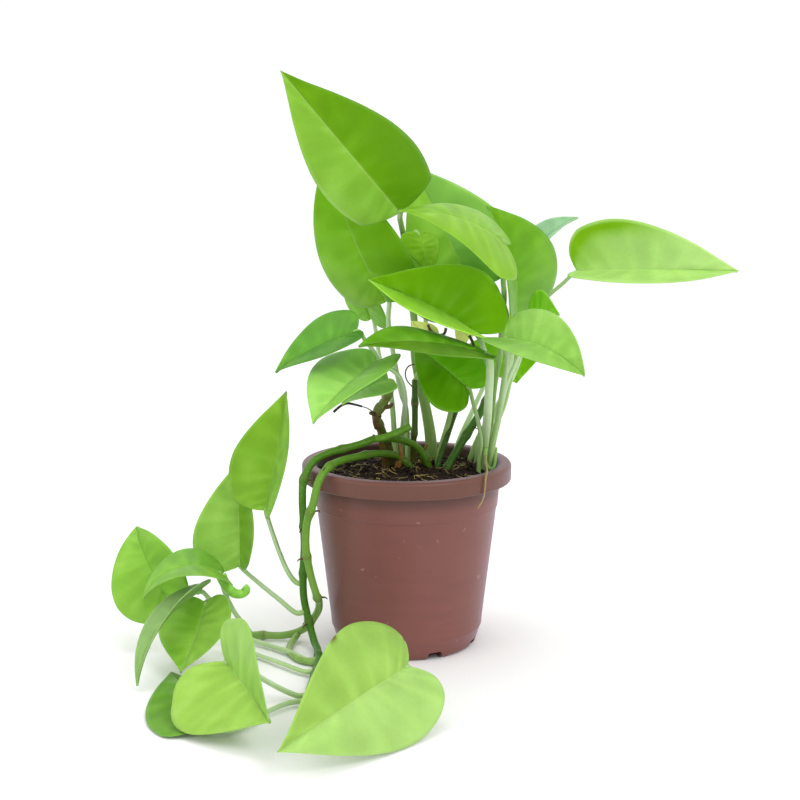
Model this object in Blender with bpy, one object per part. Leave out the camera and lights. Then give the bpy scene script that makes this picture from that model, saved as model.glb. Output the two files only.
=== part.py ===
"""A young pothos in a round nursery pot: a crown of heart-shaped leaves on upright
petioles, and two green vines that arch over the rim and trail on the surface beside it.

The origin is the middle of the pot's flat underside, +Z is up, and the vines leave
towards -X. The tables below are in millimetres; meshes are made in metres.
"""

import math

import bmesh
import bpy
from mathutils import Vector

MM = 0.001
GAP = 0.4

# The pot: a thin turned shell with a turned-down rim.
POT_HEIGHT = 110.6
POT_WALL = 1.3
POT_FLOOR = 2.2
POT_TURNS = 64
RIM_RADIUS = 62.5
RIM_DEPTH = 10.2
RIM_SKIRT = 1.4
RIM_ROUND = 2.2
RIM_FLARE = 0.06
COLLAR_RADIUS = 56.3
COLLAR_BASE_Z = 85.0
COLLAR_STEP = 0.5
BASE_RADIUS = 41.4
BASE_ROUND = 4.0
FLOOR_CHAMFER = 4.0
LEDGE_Z = 12.0
LEDGE_RADIUS = 45.4
DRAIN_COUNT = 8
DRAIN_WIDTH = 9.0
DRAIN_HEIGHT = 4.6
DRAIN_INNER = 34.0
DRAIN_FIRST_DEG = -67.0
DRAIN_ROUND = 1.5

# The soil: a low crumbly mound that fills the pot.
SOIL_TOP = 103.5
SOIL_TURNS = 32
SOIL_MOUND = 2.0
SOIL_BUMP = 0.8
SOIL_RADIUS = 55.0
SOIL_SHARES = (1.0, 0.72, 0.42, 0.16)
SOCKET_REACH = 8.0

# Leaf blades and stalks.
BLADE_THICKNESS = 0.8
BLADE_STRIPS = 9
BLADE_RIB_STEPS = 2
JUNCTION_REACH = 1.6
PETIOLE_SIDES = 6
STEM_SIDES = 8
PATH_STEP = 9.0

# One half of a heart-shaped blade, from the stalk's junction round the lobe to the tip:
# share of the length, share of the whole width.
HALF_OUTLINE = (
    (0.0, 0.0),
    (-0.055, 0.07),
    (-0.105, 0.19),
    (-0.08, 0.33),
    (0.03, 0.445),
    (0.19, 0.5),
    (0.37, 0.47),
    (0.55, 0.375),
    (0.73, 0.24),
    (0.88, 0.105),
    (0.96, 0.035),
    (1.0, 0.0),
)

LIME = (0.33, 0.56, 0.06)
FRESH = (0.22, 0.45, 0.03)
DEEP = (0.12, 0.33, 0.02)
YELLOW = (0.42, 0.62, 0.09)
STALK = (0.36, 0.55, 0.20)
VINE_GREEN = (0.13, 0.30, 0.04)
STEM_BROWN = (0.12, 0.13, 0.04)
TERRACOTTA = (0.24, 0.09, 0.065)
EARTH = (0.03, 0.02, 0.014)

# Each blade: junction, tip and the way its upper side faces, then its width, the fold of
# each half up from the midrib (degrees), the bend along the midrib (degrees), how far its
# edges curl down (share of width), its twist (degrees), how far the lobes reach behind
# the junction (1 is usual), how much wider its left half is (share), and its colour.
LEAVES = {
    "top_left": ((-4, -18, 258), (-64, -94, 331), (-0.3, -0.9, 0.25), 59, -13, 6, 0.08, 9, 0.1, -0.03, FRESH),
    "upper_left": ((-12, 18, 204), (-47, 6, 292), (-0.7, -0.7, 0.1), 69, 0, 28, 0.05, 16, 0.2, 0.07, DEEP),
    "arching": ((55, -25, 241), (-4, -49, 260), (0.2, -0.53, 0.82), 59, 2, 46, 0.08, 17, 1.3, 0.2, YELLOW),
    "centre": ((42, -2, 187), (-22, -16, 220), (-0.6, -0.5, 0.82), 67, 38, 16, -0.04, -30, 1.9, 0.08, DEEP),
    "back_upper": ((39, 50, 213), (3, 49, 285), (0.16, -0.93, 0.33), 72, 12, 14, 0.04, 0, 0.8, -0.06, FRESH),
    "back_right": ((68, 44, 190), (48, 19, 261), (0.57, -0.58, 0.58), 77, 18, 41, 0.04, -4, 0.8, -0.18, FRESH),
    "far_back": ((80, 82, 223), (107, 60, 253), (-0.42, -0.5, 0.76), 31, 21, 46, 0.02, 0, 0.8, 0.05, FRESH),
    "far_right": ((101, 11, 223), (193, -4, 224), (-0.02, -0.57, 0.82), 59, 28, 4, -0.01, 21, 0.5, 0.07, LIME),
    "right": ((55, -33, 188), (98, -56, 170), (0.38, -0.55, 0.76), 55, 27, 50, 0.06, 23, 0.5, -0.09, LIME),
    "right_inner": ((72, 0, 193), (88, -14, 200), (-0.1, -0.8, 0.6), 38, 8, 14, 0.04, 0, 0.5, 0.1, FRESH),
    "lower_right": ((61, 66, 176), (70, 54, 149), (0.2, -0.9, 0.4), 58, 9, 6, 0.03, 4, 0.8, 0.0, DEEP),
    "lower_centre": ((36, -12, 156), (4, 3, 180), (0.25, -1.0, 0.22), 43, 16, 30, 0.03, 14, 1.3, 0.12, DEEP),
    "front_level": ((45, -42, 180), (-27, -51, 186), (-0.26, -0.05, 0.97), 59, 8, 30, 0.12, -27, 0.3, -0.3, FRESH),
    "left": ((-29, -21, 191), (-76, -21, 167), (-0.23, -0.4, 0.89), 44, 16, 22, 0.03, -6, 0.6, 0.0, FRESH),
    "left_lower": ((-17, -28, 174), (-52, -64, 145), (-0.47, -0.48, 0.74), 56, 16, 22, 0.06, -5, 1.2, -0.18, LIME),
    "left_small": ((-11, -13, 162), (-38, -20, 148), (-0.25, -0.43, 0.87), 34, 10, 26, 0.06, 8, 0.5, 0.0, DEEP),
    "back_left": ((-22, 51, 190), (-31, 26, 228), (-0.54, -0.79, 0.28), 33, 10, 15, 0.04, 0, 0.7, 0.0, FRESH),
    "back_centre": ((7, 15, 245), (13, 9, 221), (0.69, -0.61, 0.4), 33, 2, 20, 0.05, 4, 0.3, 0.0, FRESH),
    "trail_upright": ((-84, -13, 83), (-71, -10, 154), (-0.82, -0.52, 0.26), 58, 22, -8, 0.0, 22, 0.3, 0.1, LIME),
    "trail_side": ((-101, 1, 45), (-104, 21, 105), (-0.68, -0.72, 0.11), 55, 26, -2, 0.01, 18, 0.5, 0.12, FRESH),
    "trail_outer": ((-142, -18, 31), (-165, 11, 67), (-0.44, -0.8, 0.41), 53, 24, 55, 0.03, 1, 1.1, 0.07, LIME),
    "trail_arching": ((-108, -32, 50), (-151, -48, 40), (0.03, -0.17, 0.99), 41, 9, 108, 0.04, 5, 0.8, -0.05, FRESH),
    "trail_drooping": ((-120, -42, 43), (-148, -90, 4), (-0.68, -0.25, 0.69), 28, 22, 52, 0.02, -3, 0.8, 0.0, STALK),
    "trail_shaded": ((-116, -43, 36), (-125, -82, 9), (-0.36, -0.89, 0.29), 45, 2, -16, 0.05, -13, 0.9, -0.2, DEEP),
    "trail_floor": ((-102, -143, 4), (-133, -66, 3), (-0.05, -0.05, 1.0), 44, 0, 3, 0.02, 3, 0.5, 0.22, DEEP),
    "trail_front": ((-94, -126, 31), (-67, -176, 19), (-0.54, -0.7, 0.47), 74, 31, -12, 0.07, 8, 1.8, -0.14, YELLOW),
    "vine_end": ((0, -130, 30), (-60, -208, 18), (0.34, -0.69, 0.64), 68, 10, 11, 0.10, -23, 1.0, 0.0, YELLOW),
}

# Each petiole: its radius at the blade and at the root, the points that it runs through
# after the blade, and whether its last point is in the soil.
PETIOLES = {
    "top_left": (1.6, 3.3, ((-4, -3, 254), (-2, 12, 244), (0, 18, 230), (3, 22, 205), (5, 23, 188),
                            (5, 25, 171), (8, 26, 154), (12, 26, 137), (15, 25, 118), (16, 25, 96)), True),
    "upper_left": (1.6, 1.7, ((-11, 17, 193), (-9, 19, 178), (-6, 20, 161), (-3, 21, 147),
                              (0, 21, 135), (1, 21, 96)), True),
    "arching": (1.6, 1.8, ((56, -5, 221), (58, 12, 206), (57, 15, 188), (56, 14, 172), (53, 12, 155),
                           (51, 13, 134), (49, 13, 118), (47, 13, 96)), True),
    "centre": (1.6, 1.8, ((45, -1, 179), (48, 4, 168), (49, 8, 158)), False),
    "back_upper": (1.6, 1.8, ((38, 48, 200), (36, 42, 187), (33, 33, 171), (30, 22, 152),
                              (26, 16, 133), (20, 12, 112), (18, 11, 96)), True),
    "back_right": (1.6, 1.8, ((66, 42, 172), (61, 32, 150), (52, 27, 128), (45, 25, 112),
                              (43, 25, 96)), True),
    "far_back": (1.2, 1.5, ((79, 74, 205), (78, 66, 188), (71, 50, 164), (61, 39, 145),
                            (45, 32, 119), (37, 30, 96)), True),
    "far_right": (1.3, 1.7, ((93, 14, 215), (83, 17, 205), (73, 20, 187), (65, 21, 163),
                             (59, 19, 139), (50, 18, 118), (48, 18, 96)), True),
    "right": (1.6, 1.8, ((57, -31, 178), (56, -17, 158), (54, -8, 137), (51, 0, 118), (50, 1, 96)), True),
    "right_inner": (1.3, 1.5, ((68, 5, 177), (60, 9, 155), (56, 9, 137), (52, 8, 118),
                               (51, 8, 96)), True),
    "lower_right": (1.5, 1.7, ((60, 73, 166), (52, 67, 150), (42, 50, 132), (32, 36, 112),
                               (30, 33, 96)), True),
    "lower_centre": (1.3, 1.5, ((39, -9, 147), (42, -9, 136), (44, -8, 124), (43, -5, 112),
                                (43, -5, 96)), True),
    "front_level": (1.9, 2.3, ((47, -35, 168), (47, -25, 152), (47, -12, 135), (46, 0, 117),
                               (46, 7, 96)), True),
    "left": (1.4, 1.6, ((-24, -12, 184), (-19, 2, 175), (-15, 8, 164), (-14, 4, 151)), False),
    "left_lower": (1.6, 1.7, ((-5, -21, 165), (-1, -8, 150), (-2, 6, 133), (-3, 13, 118),
                              (-3, 15, 96)), True),
    "back_left": (1.4, 1.6, ((-19, 52, 181), (-17, 42, 169), (-13, 33, 155), (-9, 28, 142),
                             (-6, 26, 96)), True),
    "back_centre": (1.4, 1.6, ((10, 19, 239), (11, 24, 220), (11, 26, 200), (12, 24, 184),
                               (11, 19, 170), (6, 15, 159)), False),
    "trail_upright": (1.5, 1.7, ((-81, -12, 73), (-76, -13, 58), (-71, -16, 47), (-66, -19, 41)), False),
    "trail_side": (1.5, 1.7, ((-89, -3, 35), (-77, -11, 28), (-66, -19, 22)), False),
    "trail_outer": (1.4, 1.6, ((-132, -15, 22), (-119, -13, 13), (-108, -8, 6)), False),
    "trail_arching": (1.5, 1.7, ((-107, -28, 38), (-102, -20, 22), (-95, -13, 9)), False),
    "trail_drooping": (1.5, 1.7, ((-116, -35, 37), (-107, -27, 22), (-97, -20, 8), (-89, -17, 3),
                                  (-70, -33, 3), (-58, -47, 3)), False),
    "trail_shaded": (1.4, 1.6, ((-110, -40, 28), (-100, -37, 10), (-91, -35, 3), (-72, -53, 3),
                                (-58, -66, 3)), False),
    "trail_floor": (1.4, 1.6, ((-97, -150, 3), (-84, -145, 3), (-73, -124, 3), (-64, -113, 3),
                             (-58, -110, 3)), False),
    "trail_front": (1.6, 1.7, ((-90, -114, 26), (-80, -102, 14), (-69, -101, 7), (-59, -102, 3)), False),
    "vine_end": (1.7, 2.0, ((3, -120, 22), (-2, -108, 9), (-18, -100, 4), (-34, -106, 3), (-46, -112, 3)), False),
}

# Each stem: its radius, its colour, and its points, the first of them in the soil.
STEMS = {
    "vine_upper": (2.5, VINE_GREEN, ((14, 6, 96), (13, 6, 106), (8, 4, 116), (0, 0, 122), (-10, -6, 125),
                                     (-19, -13, 126), (-27, -18, 124), (-37, -22, 122), (-46, -26, 120),
                                     (-54, -31, 116), (-59, -36, 107), (-60, -35, 95), (-60, -30, 81),
                                     (-60, -25, 65), (-61, -22, 49), (-61, -20, 32), (-58, -19, 16),
                                     (-55, -23, 6), (-52, -34, 3.5), (-51, -54, 3.5), (-52, -79, 3.5),
                                     (-53, -100, 3.5), (-51, -116, 3.5))),
    "vine_lower": (2.5, VINE_GREEN, ((5, 2, 96), (2, 1, 106), (-4, 0, 112), (-10, -4, 115),
                                     (-19, -12, 117), (-29, -21, 117), (-38, -32, 117), (-45, -42, 115),
                                     (-50, -48, 108), (-53, -49, 96), (-57, -44, 83), (-58, -39, 67),
                                     (-56, -33, 50), (-53, -28, 36), (-52, -19, 28), (-54, -11, 19),
                                     (-62, -7, 8), (-74, -6, 3.5), (-88, -6, 3.5), (-101, -6, 3.5))),
    "stem_left": (2.7, STEM_BROWN, ((-10, 9, 96), (-11, 7, 117), (-15, 3, 128), (-18, 0, 138),
                                    (-13, -2, 147), (-10, -7, 155), (-10, -11, 159))),
    "stem_middle": (2.1, STEM_BROWN, ((5, 14, 96), (4, 14, 116), (5, 14, 129), (5, 14, 145), (5, 14, 157))),
    "stem_right": (2.6, STEM_BROWN, ((20, -4, 96), (24, -2, 106), (33, 2, 121), (43, 4, 137), (50, 5, 151))),
}

BULGE_AT_NODES = 0.22
NODE_SPACING = 27.0


def remove_everything():
    for obj in list(bpy.data.objects):
        bpy.data.objects.remove(obj)


def material(name, colour, roughness):
    made = bpy.data.materials.new(name)
    made.use_nodes = True
    shader = made.node_tree.nodes["Principled BSDF"]
    shader.inputs["Base Color"].default_value = (*colour, 1.0)
    shader.inputs["Roughness"].default_value = roughness
    shader.inputs["Metallic"].default_value = 0.0
    made.diffuse_color = (*colour, 1.0)
    return made


def object_from(bm, name, colour, roughness):
    """A smooth-shaded object made from a bmesh in millimetres."""
    bmesh.ops.scale(bm, vec=(MM, MM, MM), verts=bm.verts)
    bmesh.ops.recalc_face_normals(bm, faces=bm.faces)
    mesh = bpy.data.meshes.new(name)
    bm.to_mesh(mesh)
    bm.free()
    mesh.shade_smooth()
    mesh.materials.append(material(name, colour, roughness))
    obj = bpy.data.objects.new(name, mesh)
    bpy.context.scene.collection.objects.link(obj)
    return obj


def cut(obj, cutter):
    cutter.hide_render = True
    cutter.display_type = "WIRE"
    modifier = obj.modifiers.new(cutter.name, "BOOLEAN")
    modifier.operation = "DIFFERENCE"
    modifier.solver = "EXACT"
    modifier.object = cutter


def smooth_through(points, share):
    """The point at this share (0 to 1) of a Catmull-Rom curve through the points."""
    last = len(points) - 1
    place = min(max(share, 0.0), 1.0) * last
    i = min(int(place), last - 1)
    t = place - i
    before = points[max(i - 1, 0)]
    after = points[min(i + 2, last)]
    return 0.5 * (
        2.0 * points[i]
        + (points[i + 1] - before) * t
        + (2.0 * before - 5.0 * points[i] + 4.0 * points[i + 1] - after) * t**2
        + (3.0 * points[i] - before - 3.0 * points[i + 1] + after) * t**3
    )


def arc(centre, radius, start_deg, end_deg, steps):
    """Points of a circular arc in the profile's (radius, z) plane."""
    angles = [math.radians(start_deg + (end_deg - start_deg) * i / steps) for i in range(steps + 1)]
    return [(centre[0] + radius * math.cos(a), centre[1] + radius * math.sin(a)) for a in angles]


def turned(profile, turns):
    """A bmesh turned from a closed (radius, z) profile whose two ends lie on the axis."""
    bm = bmesh.new()
    verts = [bm.verts.new((r, 0.0, z)) for r, z in profile]
    edges = [bm.edges.new(pair) for pair in zip(verts, verts[1:])]
    bmesh.ops.spin(
        bm, geom=verts + edges, axis=(0, 0, 1), cent=(0, 0, 0), angle=math.tau, steps=turns, use_merge=True
    )
    bmesh.ops.remove_doubles(bm, verts=bm.verts, dist=0.001)
    return bm


def wall_radius(z):
    """The outer radius of the pot's wall at this height."""
    if z <= LEDGE_Z:
        return BASE_RADIUS + (LEDGE_RADIUS - BASE_RADIUS) * z / LEDGE_Z
    top_z = POT_HEIGHT - RIM_DEPTH
    share = (z - LEDGE_Z) / (top_z - LEDGE_Z)
    body_top = COLLAR_RADIUS - COLLAR_STEP
    return LEDGE_RADIUS + (body_top - LEDGE_RADIUS) * share + (COLLAR_STEP if z > COLLAR_BASE_Z else 0.0)


def inner_radius(z):
    return wall_radius(min(z, COLLAR_BASE_Z)) + (max(z, COLLAR_BASE_Z) - COLLAR_BASE_Z) * RIM_FLARE - POT_WALL


def pot():
    under_rim = POT_HEIGHT - RIM_DEPTH
    skirt_inner = RIM_RADIUS - RIM_SKIRT
    lip_inner = inner_radius(POT_HEIGHT - RIM_ROUND)
    foot = wall_radius(BASE_ROUND) - BASE_ROUND
    profile = [(0.0, 0.0)]
    profile += arc((foot, BASE_ROUND), BASE_ROUND, -90.0, -8.0, 4)
    profile += [
        (wall_radius(LEDGE_Z - 1.0), LEDGE_Z - 1.0),
        (wall_radius(LEDGE_Z) + 0.2, LEDGE_Z),
        (wall_radius(COLLAR_BASE_Z), COLLAR_BASE_Z - 0.6),
        (wall_radius(COLLAR_BASE_Z + 0.1), COLLAR_BASE_Z),
        (wall_radius(under_rim), under_rim + RIM_DEPTH - 2.0 * RIM_ROUND),
        (skirt_inner - 0.6, under_rim + RIM_DEPTH - 2.0 * RIM_ROUND),
        (skirt_inner, under_rim),
        (RIM_RADIUS - 0.4, under_rim),
    ]
    profile += arc((RIM_RADIUS - RIM_ROUND, POT_HEIGHT - RIM_ROUND), RIM_ROUND, 0.0, 90.0, 4)
    profile += arc((lip_inner + RIM_ROUND, POT_HEIGHT - RIM_ROUND), RIM_ROUND, 90.0, 180.0, 4)
    profile += [
        (inner_radius(COLLAR_BASE_Z), COLLAR_BASE_Z),
        (inner_radius(LEDGE_Z), LEDGE_Z),
        (inner_radius(LEDGE_Z) - FLOOR_CHAMFER, POT_FLOOR),
        (0.0, POT_FLOOR),
    ]
    body = object_from(turned(profile, POT_TURNS), "pot", TERRACOTTA, 0.5)
    for i in range(DRAIN_COUNT):
        cut(body, drain_cutter(i))
    body.data.set_sharp_from_angle(angle=math.radians(40.0))


def drain_cutter(i):
    """A slot through the pot's lower corner: part of its floor and the foot of its wall."""
    angle = math.radians(DRAIN_FIRST_DEG + 360.0 * i / DRAIN_COUNT)
    bm = bmesh.new()
    bmesh.ops.create_cube(bm, size=1.0)
    length = LEDGE_RADIUS + 3.0 - DRAIN_INNER
    bmesh.ops.scale(bm, vec=(length, DRAIN_WIDTH, 2.0 * DRAIN_HEIGHT), verts=bm.verts)
    upright = [e for e in bm.edges if abs(e.verts[0].co.y - e.verts[1].co.y) < 0.1]
    tops = [e for e in upright if min(v.co.z for v in e.verts) > 0.0]
    bmesh.ops.bevel(bm, geom=tops, offset=DRAIN_ROUND, segments=2, profile=0.5, affect="EDGES")
    bmesh.ops.translate(bm, vec=(DRAIN_INNER + 0.5 * length, 0.0, 0.0), verts=bm.verts)
    cutter = object_from(bm, f"drain_cutter_{i}", TERRACOTTA, 0.5)
    cutter.rotation_euler.z = angle
    return cutter


def soil_height(x, y):
    """The soil's surface: a low mound with crumbly bumps."""
    mound = SOIL_MOUND * (1.0 - (x * x + y * y) / SOIL_RADIUS**2)
    bumps = math.sin(0.21 * x + 0.8) * math.cos(0.17 * y) + 0.6 * math.sin(0.37 * y - 0.11 * x)
    return SOIL_TOP + mound + SOIL_BUMP * bumps


def soil(rooted):
    """The filling of the pot, with a socket for each rooted stem."""
    bm = bmesh.new()
    heights = (POT_FLOOR + GAP, LEDGE_Z, COLLAR_BASE_Z, SOIL_TOP - 2.0)
    radii = [inner_radius(LEDGE_Z) - FLOOR_CHAMFER - GAP]
    radii += [inner_radius(z) - GAP for z in heights[1:]]
    edge = inner_radius(SOIL_TOP) - GAP
    points = []
    for r, z in zip(radii, heights):
        points.append([(r * math.cos(a), r * math.sin(a), z) for a in turn_angles(SOIL_TURNS)])
    for share in SOIL_SHARES:
        r = edge * share
        around = [(r * math.cos(a), r * math.sin(a)) for a in turn_angles(SOIL_TURNS)]
        points.append([(x, y, soil_height(x, y)) for x, y in around])
    rings = [[bm.verts.new(p) for p in ring] for ring in points]
    for lower, upper in zip(rings, rings[1:]):
        for i in range(SOIL_TURNS):
            j = (i + 1) % SOIL_TURNS
            bm.faces.new((lower[i], lower[j], upper[j], upper[i]))
    bm.faces.new(rings[0][::-1])
    centre = bm.verts.new((0.0, 0.0, soil_height(0.0, 0.0)))
    for i in range(SOIL_TURNS):
        bm.faces.new((rings[-1][i], rings[-1][(i + 1) % SOIL_TURNS], centre))
    body = object_from(bm, "soil", EARTH, 0.95)
    for name, path, radius in rooted:
        socket = buried_part(path)
        cut(body, tube(f"socket_{name}", socket, [radius + GAP] * len(socket), STEM_SIDES, EARTH, 0.9))


def buried_part(path):
    """The rooted end of a path, from a little past its end to clear of the soil."""
    end = path[0] if path[0].z < path[-1].z or path[0].z < SOIL_TOP else path[-1]
    inward = path if end is path[0] else path[::-1]
    count = next(i for i, p in enumerate(inward) if p.z > SOIL_TOP + SOCKET_REACH)
    past = inward[0] + GAP * (inward[0] - inward[1]).normalized()
    return [past, *inward[1 : count + 1]]


def turn_angles(count):
    return [math.tau * i / count for i in range(count)]


def tube(name, path, radii, sides, colour, roughness):
    """A closed tube along a path, its rings turned as little as they can be."""
    bm = bmesh.new()
    rings = []
    across = None
    for i, (centre, radius) in enumerate(zip(path, radii)):
        ahead = (path[min(i + 1, len(path) - 1)] - path[max(i - 1, 0)]).normalized()
        if across is None:
            across = ahead.orthogonal().normalized()
        across = (across - ahead * across.dot(ahead)).normalized()
        other = ahead.cross(across)
        ring = []
        for a in turn_angles(sides):
            ring.append(bm.verts.new(centre + radius * (math.cos(a) * across + math.sin(a) * other)))
        rings.append(ring)
    for first, second in zip(rings, rings[1:]):
        for i in range(sides):
            j = (i + 1) % sides
            bm.faces.new((first[i], first[j], second[j], second[i]))
    bm.faces.new(rings[0][::-1])
    bm.faces.new(rings[-1])
    return object_from(bm, name, colour, roughness)


def path_through(points):
    """Evenly shared points of a smooth curve through a stalk's route."""
    route = [Vector(p) for p in points]
    length = sum((b - a).length for a, b in zip(route, route[1:]))
    count = max(3, round(length / PATH_STEP))
    return [smooth_through(route, i / count) for i in range(count + 1)]


def blade_frame(leaf):
    """The blade's axes at rest: along the chord, across it, and out of its upper side."""
    base, tip, face = (Vector(v) for v in leaf[:3])
    along = (tip - base).normalized()
    up = Vector(face)
    up = (up - along * up.dot(along)).normalized()
    return base, along, up.cross(along), up


def blade_point(leaf, share, rib, side):
    """A point of a blade's middle surface: share runs round the outline, rib from midrib to edge."""
    width, fold, bend, curl, twist, lobe, lean = leaf[3:10]
    base, along, across, up = blade_frame(leaf)
    chord = (Vector(leaf[1]) - base).length
    bend = math.radians(bend) or 1e-4
    length = 0.5 * chord * bend / math.sin(0.5 * bend)
    u, v = smooth_through([Vector(p) for p in HALF_OUTLINE], share)
    u *= lobe if u < 0.0 else 1.0
    on_midrib = share**1.5
    u = on_midrib + (u - on_midrib) * rib
    reach = v * rib * width * (1.0 + side * lean)
    fold = math.radians(fold)
    y = side * reach * math.cos(fold)
    z = reach * math.sin(fold) - curl * width * (reach / (0.5 * width)) ** 2
    turn = math.radians(twist) * u
    y, z = y * math.cos(turn) - z * math.sin(turn), y * math.sin(turn) + z * math.cos(turn)
    slope = bend * (u - 0.5)
    x = length * (math.sin(slope) + math.sin(0.5 * bend)) / bend + z * math.sin(slope)
    z = length * (math.cos(slope) - math.cos(0.5 * bend)) / bend + z * math.cos(slope)
    return base + x * along + y * across + z * up


def blade(name, leaf):
    """A blade: two halves of ribs from the midrib to the outline, made solid."""
    bm = bmesh.new()
    strips = BLADE_STRIPS
    midrib = [bm.verts.new(blade_point(leaf, i / strips, 0.0, 1)) for i in range(strips + 1)]
    for side in (1, -1):
        ribs = [[midrib[0]] * (BLADE_RIB_STEPS + 1)]
        for i in range(1, strips):
            rib = [midrib[i]]
            for j in range(1, BLADE_RIB_STEPS + 1):
                rib.append(bm.verts.new(blade_point(leaf, i / strips, j / BLADE_RIB_STEPS, side)))
            ribs.append(rib)
        ribs.append([midrib[strips]] * (BLADE_RIB_STEPS + 1))
        for first, second in zip(ribs, ribs[1:]):
            for j in range(BLADE_RIB_STEPS):
                corners = (first[j], second[j], second[j + 1], first[j + 1])
                bm.faces.new(dict.fromkeys(corners if side > 0 else corners[::-1]))
    bmesh.ops.recalc_face_normals(bm, faces=bm.faces)
    obj = object_from(bm, f"leaf_{name}", leaf[10], 0.35)
    solid = obj.modifiers.new("blade thickness", "SOLIDIFY")
    solid.thickness = BLADE_THICKNESS * MM
    solid.offset = 0.0


def petiole_start(leaf, radius):
    """Where a petiole ends, just behind and under the notch between the blade's lobes."""
    base, along, across, up = blade_frame(leaf)
    half_bend = math.radians(0.5 * leaf[5])
    ahead = along * math.cos(half_bend) + up * math.sin(half_bend)
    out = up * math.cos(half_bend) - along * math.sin(half_bend)
    return base - (ahead + out) * JUNCTION_REACH * max(1.0, radius / 1.3)


def petiole(name, leaf, row):
    """A leaf's stalk, from the notch of its blade to the soil or to just beside its stem."""
    at_blade, at_root, points, planted = row
    path = path_through([petiole_start(leaf, 0.8 * at_blade), *points])
    last = len(path) - 1
    radii = [at_blade + (at_root - at_blade) * i / last for i in range(last + 1)]
    radii[0] = 0.8 * at_blade
    tube(f"petiole_{name}", path, radii, PETIOLE_SIDES, STALK, 0.4)
    return [(name, path, at_root)] if planted else []


def stem(name, row):
    """A stem or vine, a little thicker at each node."""
    radius, colour, points = row
    path = path_through(points)
    step = max(1, round(NODE_SPACING / PATH_STEP))
    radii = [radius * (1.0 + (BULGE_AT_NODES if i % step == 2 else 0.0)) for i in range(len(path))]
    tube(name, path, radii, STEM_SIDES, colour, 0.45)
    return (name, path, radius * (1.0 + BULGE_AT_NODES))


def main():
    remove_everything()
    bpy.context.scene.unit_settings.scale_length = 1.0
    rooted = [stem(name, row) for name, row in STEMS.items()]
    for name, leaf in LEAVES.items():
        blade(name, leaf)
    for name, row in PETIOLES.items():
        rooted += petiole(name, LEAVES[name], row)
    pot()
    soil(rooted)


main()
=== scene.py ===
"""The looks of a potted pothos: waxy heart-shaped leaves, stalks, two trailing vines,
crumbly soil and a moulded nursery pot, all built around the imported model.

The layout tables are in millimetres, like the part's own, and repeat its numbers.
"""

import math

import bmesh
import bpy
import numpy as np
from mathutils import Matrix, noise


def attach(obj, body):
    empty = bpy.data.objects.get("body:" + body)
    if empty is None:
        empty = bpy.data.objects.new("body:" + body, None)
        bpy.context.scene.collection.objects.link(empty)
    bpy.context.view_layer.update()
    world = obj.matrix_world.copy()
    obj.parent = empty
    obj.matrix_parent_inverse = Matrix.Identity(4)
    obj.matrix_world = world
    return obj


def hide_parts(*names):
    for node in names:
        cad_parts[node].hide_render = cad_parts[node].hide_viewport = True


MM = 0.001

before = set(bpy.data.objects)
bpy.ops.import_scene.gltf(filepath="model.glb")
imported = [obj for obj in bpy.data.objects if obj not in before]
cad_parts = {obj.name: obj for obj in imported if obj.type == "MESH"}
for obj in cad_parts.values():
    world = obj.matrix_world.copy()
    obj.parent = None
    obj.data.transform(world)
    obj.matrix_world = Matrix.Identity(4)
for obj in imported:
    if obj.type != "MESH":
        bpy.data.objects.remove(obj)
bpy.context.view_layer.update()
rng = np.random.default_rng(7)

# Half of a blade's outline, from the stalk's junction round the lobe to the tip.
OUTLINE = np.array([
    (0.0, 0.0), (-0.055, 0.07), (-0.105, 0.19), (-0.08, 0.33), (0.03, 0.445), (0.19, 0.5),
    (0.37, 0.47), (0.55, 0.375), (0.73, 0.24), (0.88, 0.105), (0.96, 0.035), (1.0, 0.0),
])

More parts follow.
